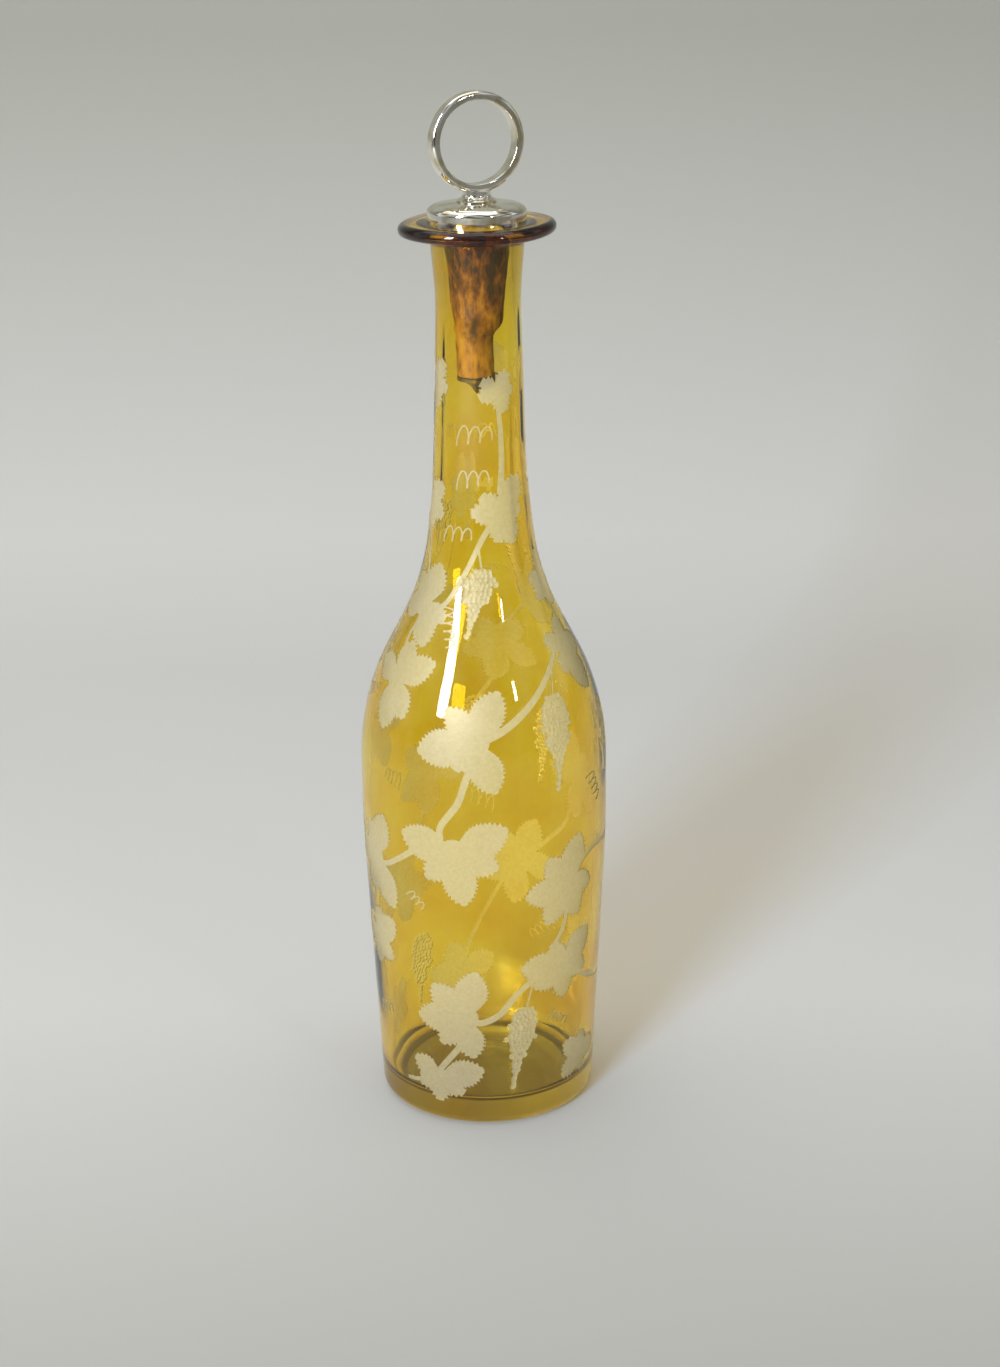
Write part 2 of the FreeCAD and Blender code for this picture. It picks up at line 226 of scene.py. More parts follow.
LEAVES = [
    (-4, 135, ((25, 17.5), (-40, 13.5), (-103, 19.5), (-146, 11), (158, 18))),
    (-14, 98, ((-76, 19.5), (63, 19.5), (108, 15), (170, 18), (-134, 13.5))),
    (-11, 40, ((14, 17.5), (-44, 15.5), (-95, 16.5), (-142, 13), (169, 15))),
    (-25, 17, ((74, 15.5), (122, 9.5), (-176, 9), (-60, 11), (-115, 9))),
    (-55, 150, ((60, 15.5), (145, 14), (-176, 17), (8, 13), (-75, 14))),
    (-54, 172, ((13, 14.5), (155, 14), (108, 10.5), (-102, 12), (-40, 12))),
    (-62, 90, ((20, 16.5), (-24, 12), (150, 18.5), (-160, 14), (-95, 14))),
    (-66, 60, ((51, 14.5), (12, 11.5), (121, 10.5), (-175, 10), (-80, 13))),
    (41, 83, ((20, 18), (-33, 13.5), (-94, 15), (-149, 14), (150, 13.5), (98, 13))),
    (41, 55, ((-83, 16), (-28, 10), (53, 16), (-118, 12.5), (178, 12), (110, 12))),
    (56, 19, ((18, 8), (-49, 10), (-128, 10), (93, 12), (160, 8))),
    (24, 202, ((-90, 9.6), (-48, 8.3), (34, 13), (-171, 9.5), (158, 11), (88, 8))),
    (23, 240, ((-60, 5.5), (-116, 6), (157, 7.5), (38, 6.5), (95, 6))),
    (72, 178, ((13, 11), (156, 10), (-75, 7.5), (85, 10), (-130, 8))),
    (62, 158, ((20, 11), (-58, 9), (158, 17), (94, 12), (-150, 9))),
    (-72, 242, ((40, 8), (110, 7), (175, 9), (-60, 9), (-120, 8))),
    (-74, 204, ((48, 9), (120, 8.5), (178, 10), (-55, 10), (-115, 9))),
    (-112, 120, ((0, 17), (62, 16), (118, 15), (-170, 14), (-70, 16))),
    (-122, 60, ((30, 17), (-35, 15), (-95, 16), (-150, 14), (100, 15))),
    (-108, 20, ((35, 12), (-50, 12), (90, 12), (150, 9), (-120, 10))),
    (-133, 164, ((10, 14), (75, 12), (135, 13), (-165, 15), (-75, 13))),
    (-150, 98, ((-15, 16), (50, 15), (112, 16), (170, 15), (-90, 15))),
    (-165, 22, ((20, 13), (-60, 14), (80, 13), (140, 10), (-135, 10))),
    (-160, 203, ((0, 12), (65, 9), (125, 10), (-170, 11), (-80, 9))),
    (170, 143, ((35, 16), (-30, 15), (100, 14), (165, 15), (-110, 15))),
    (160, 64, ((-20, 17), (48, 15), (110, 16), (172, 16), (-95, 15))),
    (138, 243, ((-40, 7), (30, 8), (100, 6.5), (165, 8), (-110, 7))),
    (122, 100, ((15, 18), (-50, 15), (-112, 16), (172, 15), (85, 15))),
    (112, 40, ((-25, 16), (40, 15), (105, 14), (165, 13), (-95, 15))),
    (118, 168, ((20, 14), (-50, 12), (90, 13), (150, 14), (-120, 11))),
    (105, 212, ((-30, 10), (35, 10), (100, 8), (165, 10), (-100, 8))),
]

# Grapes: (heading, height of the first berry, length of the bunch, width at the top, drift of its end).
GRAPES = [
    (1, 184, 20, 9.5, -5), (39, 146, 29, 10.5, -2), (20, 42, 28, 10.5, -4), (-95, 165, 24, 10, 3),
    (-88, 100, 26, 10, 2), (90, 78, 27, 10, -3), (-140, 40, 24, 10, 2), (143, 188, 20, 9, 0),
    (145, 120, 26, 10, 3), (-176, 122, 24, 10, -2), (80, 138, 24, 10, 2), (-120, 200, 20, 8, 2),
]
BERRY_RADIUS_MM = 0.95

# Stems: the width at each end, then (heading, height) points that the wheel ran through.
STEMS = [
    (1.6, 2.2, ((24, 236), (27, 228), (27.5, 217), (23, 206))),
    (2.0, 1.4, ((20, 202), (8, 197), (-2, 192), (-18, 182), (-34, 173), (-50, 171))),
    (1.5, 1.2, ((-50, 171), (-58, 164), (-58, 156), (-54, 150))),
    (1.9, 2.6, ((60, 162), (47, 156), (34, 149.5), (22, 143.5), (9, 138), (-2, 135))),
    (2.4, 2.2, ((-5, 128), (-8, 123), (-12, 115), (-20, 107), (-20, 102))),
    (2.0, 1.8, ((-24, 98), (-34, 97), (-44, 92.5), (-53, 89), (-61, 89))),
    (1.9, 1.6, ((-58, 84), (-66, 75), (-68, 66), (-66, 61))),
    (1.7, 2.4, ((43, 76), (40, 68), (34, 62), (30, 56), (16, 48.5), (7, 41.5), (-2, 38.5), (-10, 39))),
    (2.2, 2.0, ((-9, 34), (-14, 29), (-20, 24), (-26, 19))),
    (1.8, 1.4, ((-28, 17), (-38, 14), (-48, 13))),
    (1.8, 1.8, ((60, 156), (70, 166), (74, 176), (86, 190), (100, 208))),
    (1.8, 1.8, ((43, 86), (60, 92), (82, 92), (104, 96), (120, 100))),
    (1.8, 1.6, ((124, 96), (132, 82), (146, 72), (158, 65))),
    (1.6, 1.6, ((44, 54), (62, 46), (84, 42), (110, 40))),
    (1.8, 1.6, ((-70, 90), (-88, 104), (-100, 114), (-110, 120))),
    (1.8, 1.6, ((-114, 124), (-122, 140), (-130, 154), (-133, 163))),
    (1.6, 1.4, ((-135, 168), (-146, 182), (-156, 196), (-160, 204))),
    (1.6, 1.6, ((-70, 58), (-88, 50), (-106, 54), (-120, 60))),
    (1.8, 1.6, ((-126, 64), (-138, 76), (-146, 88), (-150, 97))),
    (1.6, 1.6, ((-154, 102), (-170, 116), (-184, 130), (-190, 142))),
    (1.6, 1.6, ((165, 62), (178, 48), (190, 34), (196, 24))),
    (1.6, 1.4, ((172, 148), (152, 160), (132, 164), (119, 167))),
    (1.4, 1.4, ((-72, 208), (-76, 222), (-74, 236), (-71, 243))),
    (1.4, 1.2, ((106, 214), (118, 228), (130, 238), (138, 244))),
    (1.5, 1.4, ((-56, 175), (-66, 188), (-74, 200))),
    (0.8, 0.6, ((-3, 192), (-1, 188), (1, 184))),
    (0.8, 0.6, ((46, 156), (42, 151), (39, 146))),
    (0.8, 0.6, ((24, 53), (22, 47), (20, 42))),
]

# Tendrils: (heading, height, turn of its line from level, coils, coil height), the wheel's finest line.
TENDRILS = [
    (-28, 226, 4, 3, 6.5), (-28, 212, 8, 3, 6.0), (-42, 195, 3, 3, 5.5), (-30, 173, -72, 5, 4.6),
    (58, 118, -60, 4, 5.0), (-38, 82, -38, 3, 4.0), (34, 38, -30, 4, 3.6), (70, 124, 20, 4, 4.5),
    (-92, 140, 20, 4, 5), (-100, 84, -30, 4, 5), (-128, 98, 35, 4, 5), (-150, 60, -25, 4, 5),
    (150, 150, 35, 4, 5), (128, 132, -10, 4, 5), (100, 62, 15, 4, 5), (140, 44, -35, 4, 4.5),
    (176, 84, 25, 4, 5), (-165, 165, 20, 4, 5), (158, 176, -20, 4, 4.5), (120, 190, 30, 3, 5),
    (-100, 186, -30, 4, 5), (-140, 222, 15, 3, 5), (160, 222, -15, 3, 5), (84, 14, 10, 4, 3.5),
    (-70, 34, 12, 4, 4),
]

chart_points = []
chart_faces = []
berries = []


def chart(heading, height, sideways, upward):
    """Chart place of a point that lies (sideways, upward) mm from a heading and height on the skin."""
    way = way_at(height) + upward
    return math.radians(heading) * CHART_RADIUS + sideways * CHART_RADIUS / girth_radius(way), way


def add_outline(points):
    """Adds a closed convex outline to the chart, running anticlockwise."""
    x, way = np.array(points).T
    if (x * np.roll(way, -1) - way * np.roll(x, -1)).sum() < 0:
        points = points[::-1]
    first = len(chart_points)
    chart_points.extend(points)
    chart_faces.append(list(range(first, first + len(points))))


def add_strip(points):
    """Adds a strip whose points zigzag from edge to edge, as triangles, so that it may cross itself."""
    first = len(chart_points)
    chart_points.extend(tuple(p) for p in points)
    for low in range(len(points) - 2):
        (ax, aw), (bx, bw), (cx, cw) = points[low : low + 3]
        area = (bx - ax) * (cw - aw) - (bw - aw) * (cx - ax)
        if abs(area) > 1e-4:
            a = first + low
            chart_faces.append([a, a + 1, a + 2] if area > 0 else [a, a + 2, a + 1])


def add_ribbon(points, widths):
    """Adds a ribbon of the given widths along chart points."""
    points = np.array(points)
    stretch = np.array([CHART_RADIUS / girth_radius(points[:, 1]), np.ones(len(points))]).T
    real = points / stretch
    along = np.gradient(real, axis=0)
    along /= np.linalg.norm(along, axis=1, keepdims=True)
    side = np.stack([-along[:, 1], along[:, 0]], axis=1) * np.array(widths)[:, None] / 2 * stretch
    add_strip([edge for centre, half in zip(points, side) for edge in (centre + half, centre - half)])


def add_lobe(heading, height, turn, reach):
    """One leaf lobe: widest beyond its middle, with a blunt point and saw teeth on its far part."""
    half_width = LOBE_WIDTH_MM + LOBE_WIDENING * reach
    teeth = max(5, round(EDGE_OVER_REACH * reach / TOOTH_PITCH_MM))
    lean, points = math.radians(turn), []
    for k in range(1, 2 * teeth):
        part = k / (2 * teeth)
        if part < LOBE_PLAIN_SHARE and k % 3 != 1:
            continue
        swell = LOBE_FULLNESS * part**LOBE_SKEW * (1 - part)
        tooth = TOOTH_DEPTH_MM * (k % 2) * smooth_step(part, 0.28, 0.45) * smooth_step(part, 1.02, 0.9)
        for side in (-1, 1):
            points.append((part * reach + TOOTH_LEAN * tooth, side * (half_width * swell + tooth)))
    points.append((reach, 0.0))
    add_strip([
        chart(
            heading,
            height,
            out * math.sin(lean) + across * math.cos(lean),
            out * math.cos(lean) - across * math.sin(lean),
        )
        for out, across in points
    ])


for heading, height, lobes in LEAVES:
    for turn, reach in lobes:
        add_lobe(heading, height, turn, reach)
    heart = HEART_SHARE * sum(reach for turn, reach in lobes) / len(lobes)
    add_outline([
        chart(heading, height, heart * math.cos(t), heart * math.sin(t))
        for t in np.linspace(0, 2 * math.pi, 20, endpoint=False)
    ])

# A bunch widens over its first fifth and tapers to a point from a quarter of its length on.
dice = np.random.default_rng(7)
for heading, height, length, width, drift in GRAPES:
    rows = max(3, round(length / (BERRY_ROW_SHARE * BERRY_RADIUS_MM)))
    for row in range(rows):
        part = row / (rows - 1)
        across = width * (0.55 + 0.45 * min(1, part * 5)) * (1 - smooth_step(part, 0.25, 0.85) * 0.82)
        count = max(1, round(across / (BERRY_GAP_SHARE * BERRY_RADIUS_MM)))
        if 0.08 < part < 0.7 and count > 2:
            count += int(dice.integers(-1, 2))
        for k in range(count if part < 0.96 else 1):
            place = (k - (count - 1) / 2) * BERRY_GAP_SHARE * BERRY_RADIUS_MM
            sideways = place + dice.uniform(-BERRY_STRAY_MM, BERRY_STRAY_MM) + drift * part
            fall = -part * length + dice.uniform(-BERRY_STRAY_MM, BERRY_STRAY_MM)
            size = BERRY_RADIUS_MM * dice.uniform(0.9, 1.12)
            berries.append((*chart(heading, height, sideways, fall), size))
            first_side = 0.5 * (row % 2)
            around = [2 * math.pi * (n + first_side) / BERRY_SIDES for n in range(BERRY_SIDES)]
            add_outline([
                chart(heading, height, sideways + size * math.cos(t), fall + size * math.sin(t))
                for t in around
            ])
            chart_points.append(chart(heading, height, sideways, fall))
            inner = BERRY_INNER_SHARE * size
            for t in around[::2]:
                chart_points.append(
                    chart(heading, height, sideways + inner * math.cos(t), fall + inner * math.sin(t))
                )

for first_width, last_width, points in STEMS:
    knots = np.array([chart(heading, height, 0, 0) for heading, height in points])
    knots = np.vstack([2 * knots[0] - knots[1], knots, 2 * knots[-1] - knots[-2]])
    path = []
    for a, b, c, d in zip(knots, knots[1:], knots[2:], knots[3:]):
        bend, twist = 2 * a - 5 * b + 4 * c - d, 3 * b - a - 3 * c + d
        for t in np.linspace(0, 1, STEM_STEPS)[: None if c is knots[-2] else -1]:
            path.append(0.5 * (2 * b + (c - a) * t + bend * t**2 + twist * t**3))
    add_ribbon(path, np.linspace(first_width, last_width, len(path)))

for heading, height, turn, coils, tall in TENDRILS:
    lean, path = math.radians(turn), []
    for t in np.linspace(0, 1, COIL_STEPS * coils):
        angle = 2 * math.pi * coils * t
        up = -0.5 * tall * (1 - COIL_TAPER * t) * math.cos(angle)
        along = COIL_ADVANCE * tall * coils * t - COIL_OVERHANG * tall * math.sin(angle) + COIL_SLANT * up
        path.append(
            chart(
                heading,
                height,
                along * math.cos(lean) - up * math.sin(lean),
                along * math.sin(lean) + up * math.cos(lean),
            )
        )
    add_ribbon(path, np.full(len(path), TENDRIL_WIDTH_MM))


# Glass mesh: the engraved zone is meshed as a flat chart, round the girth and along the outline, with
# every cut as an exact outline in it. The chart is then wrapped on the blown surface, each cut is sunk,
# and the rest of the outline is spun, so that the decanter is one closed skin.
LIP_EDGE_MM = 21.8
FOOT_EDGE_MM = 31.0
MOUTH_FROM_RIM_MM = 14.5  # way from the rim's outer edge to where the stain ends in the mouth
low_row = int(np.argmin(np.abs(glass_rows[:, 2] - way_at(ENGRAVED_FROM_MM))))
high_row = int(np.argmin(np.abs(glass_rows[:, 2] - way_at(ENGRAVED_TO_MM))))
seam = math.radians(SEAM_HEADING) * CHART_RADIUS
girth = 2 * math.pi * CHART_RADIUS
column_x = seam + girth * np.arange(COLUMNS + 1) / COLUMNS

# A cut that runs over the seam is repeated one girth away, so that both edges of the chart have it.
all_x = np.array([p[0] for p in chart_points])
for face in list(chart_faces):
    for shift in (-girth, girth):
        moved = [(chart_points[v][0] + shift, chart_points[v][1]) for v in face]
        if max(p[0] for p in moved) > seam and min(p[0] for p in moved) < seam + girth:
            if min(all_x[face]) < seam or max(all_x[face]) > seam + girth:
                add_outline(moved)

grid_first = len(chart_points)
band_rows = glass_rows[low_row : high_row + 1, 2]
for way in band_rows:
    chart_points.extend((x, way) for x in column_x)
row_size = COLUMNS + 1
chart_edges = []
for row in range(len(band_rows)):
    for column in range(COLUMNS):
        if row in (0, len(band_rows) - 1):
            here = grid_first + row * row_size + column
            chart_edges.append((here, here + 1))
    if row:
        for column in (0, COLUMNS):
            low = grid_first + (row - 1) * row_size + column
            chart_edges.append((low, low + row_size))

for face in chart_faces:
    chart_edges.extend(zip(face, face[1:] + face[:1]))
cut = geometry.delaunay_2d_cdt(chart_points, chart_edges, [], 0, 1e-5, True)
chart_xy = np.array([tuple(v) for v in cut[0]])
triangles = np.array([tuple(f) for f in cut[2]])
centre = chart_xy[triangles].mean(axis=1)
kept = np.abs(centre[:, 0] - seam - girth / 2) < girth / 2
kept &= (centre[:, 1] > band_rows[0]) & (centre[:, 1] < band_rows[-1])
triangles, centre = triangles[kept], centre[kept]
corner = chart_xy[triangles]
area = np.cross(corner[:, 1] - corner[:, 0], corner[:, 2] - corner[:, 0])
triangles[area < 0] = triangles[area < 0][:, ::-1]

# A triangle is engraved when its centre lies inside any of the cuts, which are all convex.
engraved = np.zeros(len(triangles), bool)
by_x = np.argsort(centre[:, 0])
sorted_x = centre[by_x, 0]
for face in chart_faces:
    ring = np.array([chart_points[v] for v in face])
    first, last = np.searchsorted(sorted_x, (ring[:, 0].min(), ring[:, 0].max()))
    near = by_x[first:last]
    near = near[(centre[near, 1] > ring[:, 1].min()) & (centre[near, 1] < ring[:, 1].max())]
    edge = np.roll(ring, -1, axis=0) - ring
    offset = centre[near][:, None] - ring
    engraved[near] |= (edge[:, 0] * offset[:, :, 1] > edge[:, 1] * offset[:, :, 0]).all(axis=1)

# Points on the chart's right edge are joined to the nearest ones on its left edge.
same = np.arange(len(chart_xy))
used = np.unique(triangles)
left = used[np.abs(chart_xy[used, 0] - seam) < 1e-3]
right = used[np.abs(chart_xy[used, 0] - seam - girth) < 1e-3]
partner = np.abs(chart_xy[right, 1][:, None] - chart_xy[left, 1]).argmin(axis=1)
same[right] = left[partner]
matched = left[np.unique(partner)]
for lone in np.setdiff1d(left, matched):
    same[lone] = matched[np.abs(chart_xy[matched, 1] - chart_xy[lone, 1]).argmin()]
triangles = same[triangles]
whole = (triangles != np.roll(triangles, 1, axis=1)).all(axis=1)
triangles, engraved = triangles[whole], engraved[whole]

# The rest of the outline is spun from the chart's top and bottom rows, with one point at each pole.
made_at = {}
for index, origin in enumerate(cut[3]):
    for source in origin:
        made_at[source] = index

vertex_heading = list(chart_xy[:, 0] / CHART_RADIUS)
vertex_way = list(chart_xy[:, 1])
band_index = {}
for row, grid_row in ((0, low_row), (len(band_rows) - 1, high_row)):
    start = grid_first + row * row_size
    band_index[grid_row] = [same[made_at[start + column]] for column in range(COLUMNS)]
faces, slots = [], []
STAIN, CLEAR, GROUND, LIP, FOOT = range(5)

foot_row = int(np.argmax(glass_rows[:, 0] > FOOT_EDGE_MM))
row_index = {}
for row, (across, up, way) in enumerate(glass_rows):
    if low_row < row < high_row:
        continue
    if row in band_index:
        row_index[row] = band_index[row]
    elif across < 1e-6:
        row_index[row] = [len(vertex_way)] * COLUMNS
        vertex_heading.append(0.0)
        vertex_way.append(way)
    else:
        start = len(vertex_way)
        row_index[row] = list(range(start, start + COLUMNS))
        vertex_heading.extend(column_x[:-1] / CHART_RADIUS)
        vertex_way.extend([way] * COLUMNS)

for row in range(len(glass_rows) - 1):
    if low_row <= row < high_row:
        continue
    across, up = glass_rows[row : row + 2, :2].mean(axis=0)
    way = glass_rows[row : row + 2, 2].mean()
    if way > rim_way + MOUTH_FROM_RIM_MM:
        slot = CLEAR
    elif across > LIP_EDGE_MM and row > high_row:
        slot = LIP
    elif row < foot_row:
        slot = FOOT
    else:
        slot = STAIN
    below, above = row_index[row], row_index[row + 1]
    for column in range(COLUMNS):
        after = (column + 1) % COLUMNS
        ring = [below[column], below[after], above[after], above[column]]
        faces.append([v for n, v in enumerate(ring) if v != ring[n - 1]])
        slots.append(slot)

heading_all = np.array(vertex_heading)
way_all = np.array(vertex_way)
places = glass_surface(heading_all, way_all)
normals = glass_normal(heading_all, way_all)
normals[row_index[0][0]] = (0, 0, -1)
normals[row_index[len(glass_rows) - 1][0]] = (0, 0, 1)

# The cuts are sunk below the skin, with a round bowl for each berry.
sunk_from = np.unique(triangles[engraved])
depth = np.full(len(sunk_from), CUT_DEPTH_MM)
slope = np.zeros((len(sunk_from), 2))
scale_x = CHART_RADIUS / girth_radius(chart_xy[sunk_from, 1])
for x, way, size in berries:
    for turn_round in (-girth, 0, girth):
        gap_x = (chart_xy[sunk_from, 0] - x - turn_round) / scale_x
        gap_way = chart_xy[sunk_from, 1] - way
        near = gap_x**2 + gap_way**2 < size**2 * 1.001
        bowl = BERRY_RIM_DEPTH_MM + BERRY_DEPTH_MM * (1 - (gap_x**2 + gap_way**2) / size**2)
        take = near & ((bowl > depth) | (depth == CUT_DEPTH_MM))
        depth[take] = bowl[take]
        slope[take, 0] = -2 * BERRY_DEPTH_MM * gap_x[take] / size**2
        slope[take, 1] = -2 * BERRY_DEPTH_MM * gap_way[take] / size**2
sunk_heading = heading_all[sunk_from]
eastward = np.stack([np.cos(sunk_heading), np.sin(sunk_heading), np.zeros(len(sunk_from))], axis=1)
upward = np.cross(normals[sunk_from], eastward)
floor_normals = normals[sunk_from] + slope[:, :1] * eastward + slope[:, 1:] * upward
floor_normals /= np.linalg.norm(floor_normals, axis=1, keepdims=True)
floor_of = {int(v): len(places) + n for n, v in enumerate(sunk_from)}
places = np.vstack([places, places[sunk_from] - normals[sunk_from] * depth[:, None]])
normals = np.vstack([normals, floor_normals])

# Every edge between plain skin and a cut gets a wall down to the cut's floor.
plain_edges = set()
for a, b, c in triangles[~engraved]:
    plain_edges.update(((a, b), (b, c), (c, a)))
    faces.append([a, b, c])
    slots.append(STAIN)
for a, b, c in triangles[engraved]:
    faces.append([floor_of[a], floor_of[b], floor_of[c]])
    slots.append(GROUND)
    for v, w in ((a, b), (b, c), (c, a)):
        if (w, v) in plain_edges:
            faces.append([floor_of[v], floor_of[w], w, v][::-1])
            slots.append(GROUND)

# Points that no face uses are left out.
in_use = np.zeros(len(places), bool)
for face in faces:
    in_use[face] = True
renumber = np.cumsum(in_use) - 1
glass_mesh = bpy.data.meshes.new("engraved_glass_decanter")
glass_mesh.from_pydata(places[in_use] * MM, [], [[int(renumber[v]) for v in face] for face in faces])
glass_mesh.polygons.foreach_set("material_index", slots)
glass_mesh.polygons.foreach_set("use_smooth", [True] * len(faces))
glass_mesh.normals_split_custom_set_from_vertices(normals[in_use])
glass = bpy.data.objects.new("engraved_glass_decanter", glass_mesh)
bpy.context.collection.objects.link(glass)


def linear(code):
    """Linear colour, with alpha, of an sRGB hex code."""
    parts = [int(code[k : k + 2], 16) / 255 for k in (1, 3, 5)]
    return (*[p / 12.92 if p <= 0.04045 else ((p + 0.055) / 1.055) ** 2.4 for p in parts], 1)


def add_node(tree, kind, links=None, **settings):
    """Adds one node: settings are its own values, links are its sockets' values or their sources."""
    made = tree.nodes.new(kind)
    for name, value in settings.items():
        setattr(made, name, value)
    for name, value in (links or {}).items():
        if isinstance(value, bpy.types.NodeSocket):
            tree.links.new(value, made.inputs[name])
        else:
            made.inputs[name].default_value = value
    return made


def new_material(name):
    material = bpy.data.materials.new(name)
    material.use_nodes = True
    material.node_tree.nodes.clear()
    return material, material.node_tree


def colour_ramp(tree, source, stops):
    """A ramp from (place, hex colour) stops, driven by source."""
    ramp = add_node(tree, "ShaderNodeValToRGB", {"Fac": source})
    for stop, (place, code) in enumerate(stops):
        point = ramp.color_ramp.elements[stop] if stop < 2 else ramp.color_ramp.elements.new(place)
        point.position = place
        point.color = linear(code)
    return ramp.outputs["Color"]


def object_noise(tree, scale, detail, roughness=0.5):
    """Cloudy noise fixed to the piece, from 0 to 1."""
    where = add_node(tree, "ShaderNodeTexCoord")
    links = {"Vector": where.outputs["Object"], "Scale": scale, "Detail": detail, "Roughness": roughness}
    return add_node(tree, "ShaderNodeTexNoise", links).outputs["Fac"]


def finish_surface(tree, links):
    """A Principled surface on a material's output."""
    surface = add_node(tree, "ShaderNodeBsdfPrincipled", links)
    add_node(tree, "ShaderNodeOutputMaterial", {"Surface": surface.outputs[0]})


GLASS_IOR = 1.52


def finish_glass(material, tree, links, lamp_code):
    """A glass surface for the decanter, which lets lamp light pass with its skin's tint, so that the
    shadows behind it are soft and coloured."""
    surface = add_node(tree, "ShaderNodeBsdfPrincipled", {"IOR": GLASS_IOR, **links})
    path = add_node(tree, "ShaderNodeLightPath")
    clear = add_node(tree, "ShaderNodeBsdfTransparent", {"Color": linear(lamp_code)})
    both = add_node(tree, "ShaderNodeMixShader", {"Fac": path.outputs["Is Shadow Ray"]})
    tree.links.new(surface.outputs[0], both.inputs[1])
    tree.links.new(clear.outputs[0], both.inputs[2])
    add_node(tree, "ShaderNodeOutputMaterial", {"Surface": both.outputs[0]})
    glass_mesh.materials.append(material)


# Amber stain: silver stain fired into the outer skin of polished glass, a little uneven, so the
# yellow runs from straw to ochre over a few centimetres while the surface stays bright.
amber, tree = new_material("polished_glass_amber_stain")
clouds = object_noise(tree, 34.0, 3.0, 0.6)
stain_colour = colour_ramp(tree, clouds, [(0.34, "#f4bd14"), (0.66, "#ffde36")])
stain_links = {"Base Color": stain_colour, "Roughness": 0.0, "Transmission Weight": 1.0}
finish_glass(amber, tree, stain_links, "#e8d27c")

# Clear inner wall: fire-polished lead glass with no stain, colourless and mirror smooth.
inner_glass, tree = new_material("fire_polished_clear_glass")
inner_links = {"Base Color": linear("#ffffff"), "Roughness": 0.0, "Transmission Weight": 1.0}
finish_glass(inner_glass, tree, inner_links, "#f6f6f2")

# Wheel-ground glass: the cut goes through the stain into clear glass and is left matt, so it scatters
# light as a creamy white frost and lets some of the amber behind it show.
ground, tree = new_material("wheel_ground_matt_glass")
grit = object_noise(tree, 900.0, 2.0)
frost_colour = colour_ramp(tree, grit, [(0.3, "#e4d8ac"), (0.7, "#f2e8c4")])
pits = add_node(tree, "ShaderNodeBump", {"Height": grit, "Strength": 0.4, "Distance": 0.0001})
ground_links = {"Base Color": frost_colour, "Roughness": 0.5, "Transmission Weight": 0.72}
ground_links["Normal"] = pits.outputs["Normal"]
finish_glass(ground, tree, ground_links, "#dcd6ba")

# Lip edge: the stain lies thick where the lip was tooled. Over it the colour swings in blotches from near
# black to bright orange, painted shade and painted glints for the light that runs along inside the disc.
lip_glass, tree = new_material("polished_glass_deep_amber_lip_painted_glints")
painted_glint_noise = object_noise(tree, 140.0, 3.0)
# Painted glints and shade: blotches of bright orange and near black over the deep amber stain.
lip_stain_and_painted_glints = colour_ramp(tree, painted_glint_noise, [(0.44, "#3a1a0e"), (0.7, "#f69a34"), (0.58, "#84421c")])
lip_links = {"Base Color": lip_stain_and_painted_glints, "Roughness": 0.02, "Transmission Weight": 1.0}
finish_glass(lip_glass, tree, lip_links, "#c87a30")

# Foot: the flat ring that the decanter stands on and the punt inside it, worn matt by tables. Its dull
# olive-grey colour is painted shade, for the floor in shadow under it.
foot_glass, tree = new_material("worn_foot_glass_painted_shade")
# Painted shade: the dull olive-grey base colour darkens the foot.
foot_links = {"Base Color": linear("#a09468"), "Roughness": 0.35, "Transmission Weight": 0.8}
finish_glass(foot_glass, tree, foot_links, "#8a7c50")

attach(glass, "bottle")
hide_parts("glass_bottle")


# Cork: bark cork turned to a taper, with a narrow worn lower end where it has been trimmed. Its colour
# has painted shade at the top and painted light at the lower end, where light passes. It is a ring of
# cork round the stopper's rod.
CORK_COLUMNS = 96
CORK_TRIM_TOP = 258.5
CORK_TRIM_SHIFT_MM = 1.2
CORK_CORNERS = [
    (1.8, 289.8, 0), (10, 289.8, 0.5), (10, 284, 8), (7.2, 257, 1.0),
    (5.8, 254.5, 1.5), (5.8, 242.1, 0.8), (1.8, 242.1, 0),
]


def spun_mesh(name, rows, columns, shape):
    """Spins a closed run of (across, up) rows in mm round the axis, changed by shape, into a ring."""
    headings = 2 * math.pi * np.arange(columns) / columns
    across, turn = np.meshgrid(rows[:, 0], headings, indexing="ij")
    up = np.repeat(rows[:, 1:2], columns, axis=1)
    across, up = shape(across, up, turn)
    points = np.stack([across * np.sin(turn), -across * np.cos(turn), up], axis=-1).reshape(-1, 3)
    quads = []
    for row in range(len(rows)):
        start, below = row * columns, (row + 1) % len(rows) * columns
        for column in range(columns):
            after = (column + 1) % columns
            quads.append([start + column, below + column, below + after, start + after])
    mesh = bpy.data.meshes.new(name)
    mesh.from_pydata(points * MM, [], quads)
    mesh.polygons.foreach_set("use_smooth", [True] * len(quads))
    made = bpy.data.objects.new(name, mesh)
    bpy.context.collection.objects.link(made)
    return made


def worn_cork(across, up, turn):
    """Bark grain and wear: shallow hollows, and a lower end trimmed more on its right side."""
    lumps = 0.12 * np.sin(3 * turn + 0.4 * up) + 0.08 * np.sin(7 * turn - 0.9 * up)
    lumps = lumps + 0.06 * np.sin(13 * turn + up)
    trim = smooth_step(CORK_TRIM_TOP - up, 0, 4)
    aside = CORK_TRIM_SHIFT_MM * trim * np.cos(turn - math.radians(-90))
    return across + (across > 3) * (lumps - 0.15 + aside), up


cork_rows = rounded_outline(CORK_CORNERS, 1.2, 20)
cork_piece = spun_mesh("tapered_bark_cork", cork_rows, CORK_COLUMNS, worn_cork)

